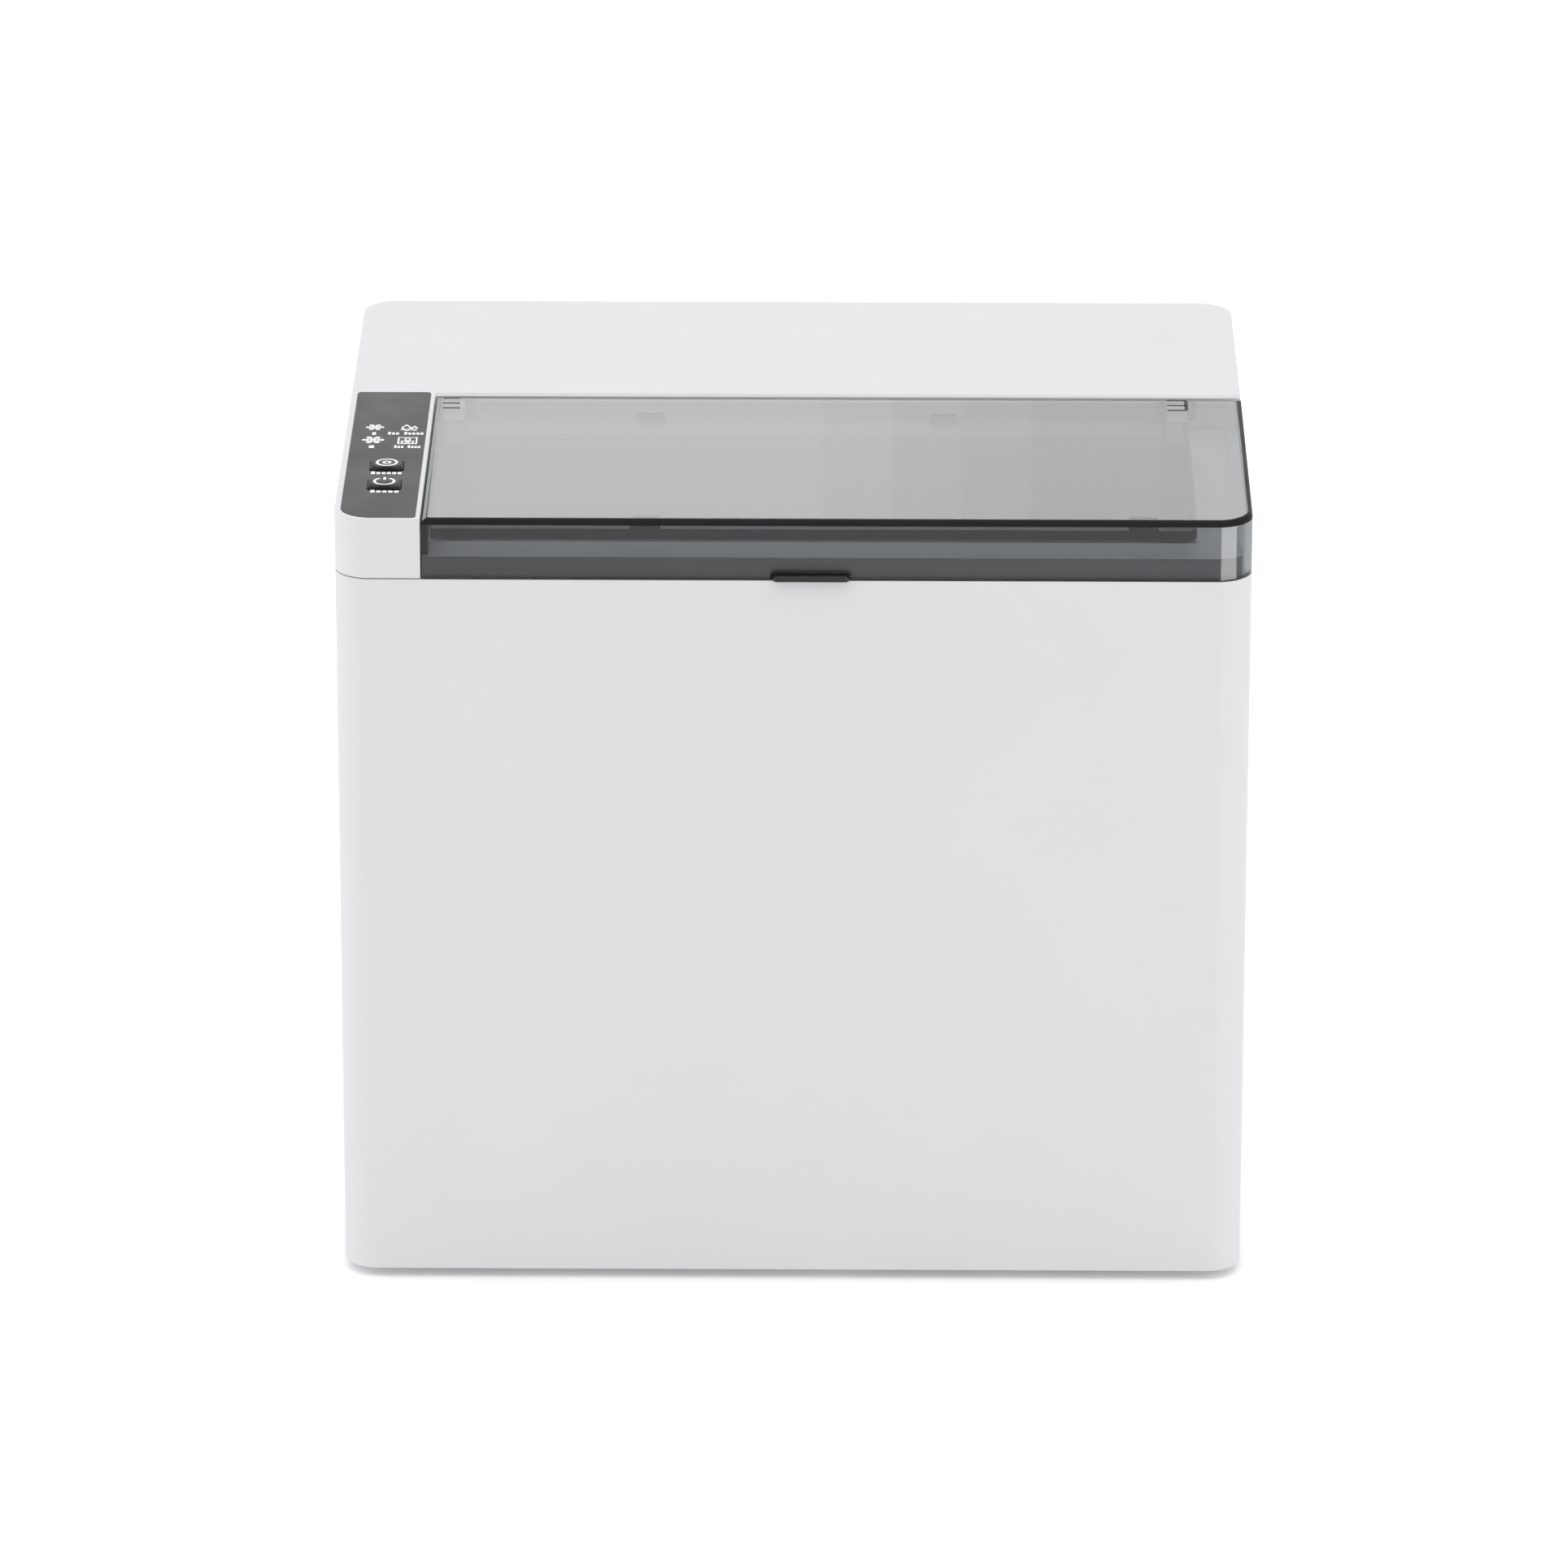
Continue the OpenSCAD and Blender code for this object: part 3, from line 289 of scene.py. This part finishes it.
# Looks of single faces and marks: printed ink, and the painted shade and painted light on faces of the lid and the
# rim
white_ink = plastic("white_ink", (0.88, 0.88, 0.88), 0.5, 900.0, 0.0, 0.01)
# painted shade: a near-black opaque plastic on faces where the smoked plastic only looks dark from the way light
# goes through it
smoked_edge_painted_shade = plastic("smoked_edge_painted_shade", (0.017, 0.018, 0.019), 0.22, 700.0, 0.0, 0.1, 0.18)
smoked_edge_painted_shade.node_tree.nodes["Principled BSDF"].inputs["IOR"].default_value = 1.2   # only a weak shine
# painted light: a paler grey for the lid's left rounding, where light falling on that side makes it look lighter
smoked_side_painted_light = plastic("smoked_side_painted_light", (0.24, 0.262, 0.266), 0.3, 700.0, 0.0, 0.02, 0.3)
# painted shade: a dark grey for the rim's front faces, which lie in shade under the lid
rim_front_painted_shade = plastic("rim_front_painted_shade", (0.122, 0.127, 0.132), 0.4, 1200.0, 0.01 * MM, 0.012)


# ------------------------------------------------------------------ mesh helpers


def new_object(name, mesh, material, body):
    """A piece that rides on a CAD body, with the material it is given."""
    piece = bpy.data.objects.new(name, mesh)
    bpy.context.scene.collection.objects.link(piece)
    mesh.materials.clear()
    mesh.materials.append(material)
    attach(piece, body)
    return piece


SMOOTH_BELOW = math.radians(32)    # edges flatter than this are shaded smooth
ROUND_ABOVE = math.radians(40)     # edges sharper than this get a rounding
FLAT_BELOW = math.radians(0.3)     # faces nearer to one plane than this are joined
WELD = 0.001 * MM                  # points nearer than this are one
NEAR = 0.1 * MM                    # close enough to count as lying on a plane


def soften(mesh):
    """Smooth shading that stays crisp at sharp edges."""
    mesh.shade_smooth()
    mesh.set_sharp_from_angle(angle=SMOOTH_BELOW)


def weigh_normals(piece):
    """Keeps wide faces flat next to their roundings."""
    modifier = piece.modifiers.new("even_normals", "WEIGHTED_NORMAL")
    modifier.keep_sharp = True
    modifier.weight = 90


def sharp_edges(bm, angle=ROUND_ABOVE):
    return [e for e in bm.edges if len(e.link_faces) == 2 and e.calc_face_angle(0) > angle]


def round_edges(bm, edges, width, segments, clamp=True):
    bmesh.ops.bevel(bm, geom=edges, offset=width, offset_type="OFFSET", segments=segments, profile=0.5,
                    affect="EDGES", clamp_overlap=clamp, loop_slide=True)


def finished(node, width, segments=2, first=None):
    """A copy of a CAD node with its edges rounded, in place of the node; first shapes it before that."""
    bm = bmesh.new()
    bm.from_mesh(nodes[node].data)
    bmesh.ops.remove_doubles(bm, verts=bm.verts, dist=WELD)
    bmesh.ops.dissolve_limit(bm, angle_limit=FLAT_BELOW, verts=bm.verts, edges=bm.edges)
    if first:
        first(bm)
    round_edges(bm, sharp_edges(bm), width, segments)
    mesh = bpy.data.meshes.new(node + "_finished")
    bm.to_mesh(mesh)
    bm.free()
    soften(mesh)
    slot = node_slot[node]
    piece = new_object(node + "_finished", mesh, MATERIALS[slot], node_body[node])
    weigh_normals(piece)
    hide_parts(node)
    return piece


def more_material(piece, material, chosen):
    """Gives the faces that chosen picks another material."""
    piece.data.materials.append(material)
    for face in piece.data.polygons:
        if chosen(face):
            face.material_index = len(piece.data.materials) - 1


def paint_nodes():
    """Every CAD node gets the material of its slot."""
    for name, item in nodes.items():
        material = MATERIALS[node_slot[name]]
        for slot in item.material_slots:
            slot.material = material


# ------------------------------------------------------------------ printed marks

INK = 0.04 * MM      # how far the ink stands above the surface, and reaches below it
CIRCLE_STEPS = 40
MITRE_LIMIT = 0.3    # keeps the corners of sharp turns short


def stroke(points, width, closed=False):
    """The quads of a line of constant width through the points, with mitred corners."""
    points = [Vector(p) for p in points]
    count = len(points)
    left, right = [], []
    for i, point in enumerate(points):
        ways = []
        if closed or i > 0:
            ways.append((point - points[i - 1]).normalized())
        if closed or i < count - 1:
            ways.append((points[(i + 1) % count] - point).normalized())
        way = sum(ways, Vector((0, 0))).normalized()
        square = Vector((-way.y, way.x))
        reach = width / 2 / max(MITRE_LIMIT, abs(square.dot(Vector((-ways[0].y, ways[0].x)))))
        left.append(point + square * reach)
        right.append(point - square * reach)
    last = count if closed else count - 1
    return [[left[i], right[i], right[(i + 1) % count], left[(i + 1) % count]] for i in range(last)]


def arc(radius, start, end, steps=CIRCLE_STEPS, center=(0, 0)):
    """Points round part of a circle, by angles in degrees."""
    angles = [math.radians(start + (end - start) * i / steps) for i in range(steps + 1)]
    return [(center[0] + radius * math.cos(a), center[1] + radius * math.sin(a)) for a in angles]


def circle(radius, width):
    return stroke(arc(radius, 0, 360)[:-1], width, closed=True)


def rectangle(x0, y0, x1, y1):
    return [(x0, y0), (x1, y0), (x1, y1), (x0, y1)]


def printed(name, polygons, place, z, body):
    """Polygons in millimetres about place, laid down as a thin film of ink on the surface at z.

    Each polygon is a hair lower than the one before, so that no two faces lie in one plane where they cross.
    """
    bm = bmesh.new()
    for number, polygon in enumerate(polygons):
        rise = INK * (1 - 0.5 * number / len(polygons))
        ring = [Vector(((place[0] + p[0]) * MM, (place[1] + p[1]) * MM)) for p in polygon]
        low = [bm.verts.new((p.x, p.y, z - INK)) for p in ring]
        high = [bm.verts.new((p.x, p.y, z + rise)) for p in ring]
        bm.faces.new(high)
        bm.faces.new(low[::-1])
        for i in range(len(ring)):
            j = (i + 1) % len(ring)
            bm.faces.new((low[i], low[j], high[j], high[i]))
    bmesh.ops.recalc_face_normals(bm, faces=bm.faces)
    mesh = bpy.data.meshes.new(name)
    bm.to_mesh(mesh)
    bm.free()
    return new_object(name, mesh, white_ink, body)


def snowflake(radius, width):
    """Six arms, each with two pairs of side branches at 45 degrees."""
    shapes = []
    for k in range(6):
        turn = Matrix.Rotation(math.radians(60 * k), 2)
        shapes += stroke([turn @ Vector((0, 0)), turn @ Vector((radius, 0))], width)
        for at, reach in ((0.38, 0.38), (0.68, 0.32)):
            for side in (-1, 1):
                tip = Vector((radius * (at + reach * 0.7), side * radius * reach * 0.7))
                shapes += stroke([turn @ Vector((radius * at, 0)), turn @ tip], width * 0.85)
    return shapes


def water_drop(x, y, radius, width):
    """The outline of a drop: most of a circle, and a tip above it."""
    return stroke(arc(radius, -210, 30, 24, (x, y)) + [(x, y + 2.1 * radius)], width, closed=True)


def water_drops(width):
    """A large and a small drop over a line with two waves."""
    parts = [i / 24 for i in range(25)]
    wave = [(6.4 * (at - 0.5), -3.4 + 0.5 * math.sin(4 * math.pi * at)) for at in parts]
    return water_drop(-1.0, -0.6, 1.7, width) + water_drop(2.2, -0.9, 1.05, width) + stroke(wave, width)


def full_box(width):
    """A box outline with three ice cubes in it."""
    shapes = stroke(rectangle(-3.6, -3.9, 3.6, 3.9), width, closed=True)
    for x, y in ((-1.35, -1.6), (1.35, -1.6), (0, 1.4)):
        shapes += stroke(rectangle(x - 0.95, y - 1.2, x + 0.95, y + 1.2), width * 0.9, closed=True)
    return shapes


CAPITAL = 3.2        # height of the first block of a word, in mm
LOWER = 0.78         # height of the other blocks, as a part of that
BLOCK = 0.74         # width of a block, as a part of the pitch


def blank_words(width, words):
    """A row of small blocks where the real label has words: one block per letter, with gaps between words."""
    pitch = width / (sum(words) + len(words) - 1)
    low = -CAPITAL / 2
    shapes, at = [], 0
    for word in words:
        for k in range(word):
            left = -width / 2 + (at + k) * pitch
            tall = CAPITAL * (LOWER if k else 1)
            shapes.append(rectangle(left, low, left + pitch * BLOCK, low + tall))
        at += word + 1
    return shapes


def print_label():
    """The marks on the label, placed in millimetres from its front left corner."""
    (left, front, _), (_, _, z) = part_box("control_label")
    marks = {
        "small_cubes_mark": (snowflake(3.7, 0.7), 8.7, 111.0),
        "large_cubes_mark": (snowflake(4.5, 0.8), 8.7, 95.0),
        "add_water_mark": (water_drops(0.75), 22.4, 110.9),
        "ice_full_mark": (full_box(0.7), 22.5, 94.2),
        "small_cubes_legend": (blank_words(2.0, [1]), 9.0, 103.0),
        "large_cubes_legend": (blank_words(2.8, [1]), 8.8, 86.4),
        "add_water_legend": (blank_words(14.6, [3, 5]), 21.6, 103.4),
        "ice_full_legend": (blank_words(10.8, [3, 4]), 22.9, 86.6),
        "select_legend": (blank_words(12.6, [6]), 16.1, 54.1),
        "power_legend": (blank_words(11.8, [5]), 16.4, 31.5),
    }
    for name, (shapes, x, y) in marks.items():
        printed(name, shapes, (left / MM + x, front / MM + y), z, "case")


def print_buttons():
    """A ring with a small ring in it, and a ring that is open at the top for a short bar."""
    radius, width = 3.9, 1.0
    rings = {
        "select_button": circle(radius, width) + circle(1.35, 0.9),
        "power_button": stroke(arc(radius, 118, 422), width) + stroke([(0, 1.6), (0, 4.9)], width),
    }
    for node, shapes in rings.items():
        low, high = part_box(node)
        place = ((low[0] + high[0]) / 2 / MM, (low[1] + high[1]) / 2 / MM)
        printed(node + "_ring", shapes, place, high[2], node_body[node])


# ------------------------------------------------------------------ lid

LID_ROUNDING = 2.4 * MM
TAB_REACH = 3.5 * MM    # the finger tab, out from the lid's front

(lid_left, tab_front, lid_low), (lid_right, _, lid_top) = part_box("lid_cover")
lid_front = tab_front + TAB_REACH
hinge_y = next(j for j in frame["joints"] if j["name"] == "lid_hinge")["pos_m"][1]


def round_lid_top(bm):
    """The wide rounding round the lid's top, at the front and the two sides."""
    outer = [e for e in sharp_edges(bm, math.radians(60))
             if all(abs(v.co.z - lid_top) < 0.01 * MM and v.co.y < hinge_y + NEAR for v in e.verts)]
    round_edges(bm, outer, LID_ROUNDING, 6, clamp=False)


def on_top_rounding(face):
    return (0.05 < face.normal.z < 0.985 and face.center.y < hinge_y
            and face.center.z > lid_top - LID_ROUNDING - 0.3 * MM)


def on_left_rounding(face):
    return (on_top_rounding(face) and face.normal.x < -0.1
            and face.center.x > lid_left + 0.5 * MM and face.center.y > lid_front + 4 * MM)


def on_skirt_foot(face):
    return face.normal.z < -0.9 and face.center.z < lid_low + NEAR


def add_lid():
    """The lid gets a painted near-black shade along its rounded edge, its foot and the inner panel's sides, and a
    painted paler tone along the left rounding.
    """
    lid = finished("lid_cover", 0.4 * MM, first=round_lid_top)
    # painted shade on the rounded top edge and the foot, painted light on the left rounding
    more_material(lid, smoked_edge_painted_shade, lambda f: on_top_rounding(f) or on_skirt_foot(f))
    more_material(lid, smoked_side_painted_light, on_left_rounding)
    panel = finished("lid_inner_panel", 0.4 * MM)
    more_material(panel, smoked_edge_painted_shade, lambda f: abs(f.normal.z) < 0.5)


RIB_PITCH = 6.2 * MM
RIB_WIDTH = 1.3 * MM
RIB_DEPTH = 1.0 * MM
RIB_RISE = 0.03 * MM    # above the lid's top
REAR_RIB = hinge_y + 0.4 * MM


def add_ribs():
    """Three fine lines in the lid over each hinge bracket, and the end bar of the right-hand ones, drawn as dark
    bars with painted shade.
    """
    ribs = [REAR_RIB - RIB_PITCH * k for k in (2, 1, 0)]
    bar_end = lid_right - 22.2 * MM
    bars = [(lid_left + 2.9 * MM, y - RIB_WIDTH / 2, lid_left + 9.8 * MM, y + RIB_WIDTH / 2) for y in ribs]
    bars += [(bar_end - 7.9 * MM, y - RIB_WIDTH / 2, bar_end, y + RIB_WIDTH / 2) for y in ribs]
    bars.append((bar_end - 0.9 * MM, ribs[0], bar_end + 0.6 * MM, ribs[-1]))
    bm = bmesh.new()
    for x0, y0, x1, y1 in bars:
        made = bmesh.ops.create_cube(bm, size=1.0)["verts"]
        bmesh.ops.scale(bm, vec=(x1 - x0, y1 - y0, RIB_DEPTH), verts=made)
        place = ((x0 + x1) / 2, (y0 + y1) / 2, lid_top + RIB_RISE - RIB_DEPTH / 2)
        bmesh.ops.translate(bm, vec=place, verts=made)
    mesh = bpy.data.meshes.new("lid_ribs")
    bm.to_mesh(mesh)
    bm.free()
    # painted shade: the bars take the near-black edge material so that the shaded slots show as dark lines
    new_object("lid_ribs", mesh, smoked_edge_painted_shade, "lid")


# ------------------------------------------------------------------ other pieces

COVER_ROUNDING = 0.9 * MM

cover_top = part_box("top_cover")[1][2]
rim_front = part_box("tub_rim")[0][1]

# Edge roundings in millimetres of the pieces that need nothing else
ROUNDINGS = {
    "hinge_brackets": 0.4, "evaporator_cover": 0.3, "select_button": 0.5, "power_button": 0.5,
    "rear_panel": 0.3, "rear_spacers": 0.8, "power_inlet": 0.4, "drain_plug": 0.8,
    "ice_basket": 0.4, "feet": 0.8, "water_tray": 0.3, "ice_shovel": 0.3,
}


def round_cover_top(bm):
    """The soft edges round the top cover's upper face; its lower edges stay crisp, for a dark seam."""
    upper = [e for e in sharp_edges(bm) if all(v.co.z > cover_top - NEAR for v in e.verts)]
    round_edges(bm, upper, COVER_ROUNDING, 3)


def add_rim():
    """The rim, with its front side given a painted shade: the darker tone that shows through the lid's skirt."""
    rim = finished("tub_rim", 0.8 * MM)
    more_material(rim, rim_front_painted_shade, lambda f: f.normal.y < -0.5 and f.center.y < rim_front + 7 * MM)


# ------------------------------------------------------------------ scene

paint_nodes()
add_camera()
add_studio()

finished("front_side_cover", 0.3 * MM)
finished("top_cover", 0.2 * MM, first=round_cover_top)
add_lid()
add_rim()
for node, width in ROUNDINGS.items():
    finished(node, width * MM, segments=3 if node.endswith("_button") else 2)
print_label()
print_buttons()
add_ribs()
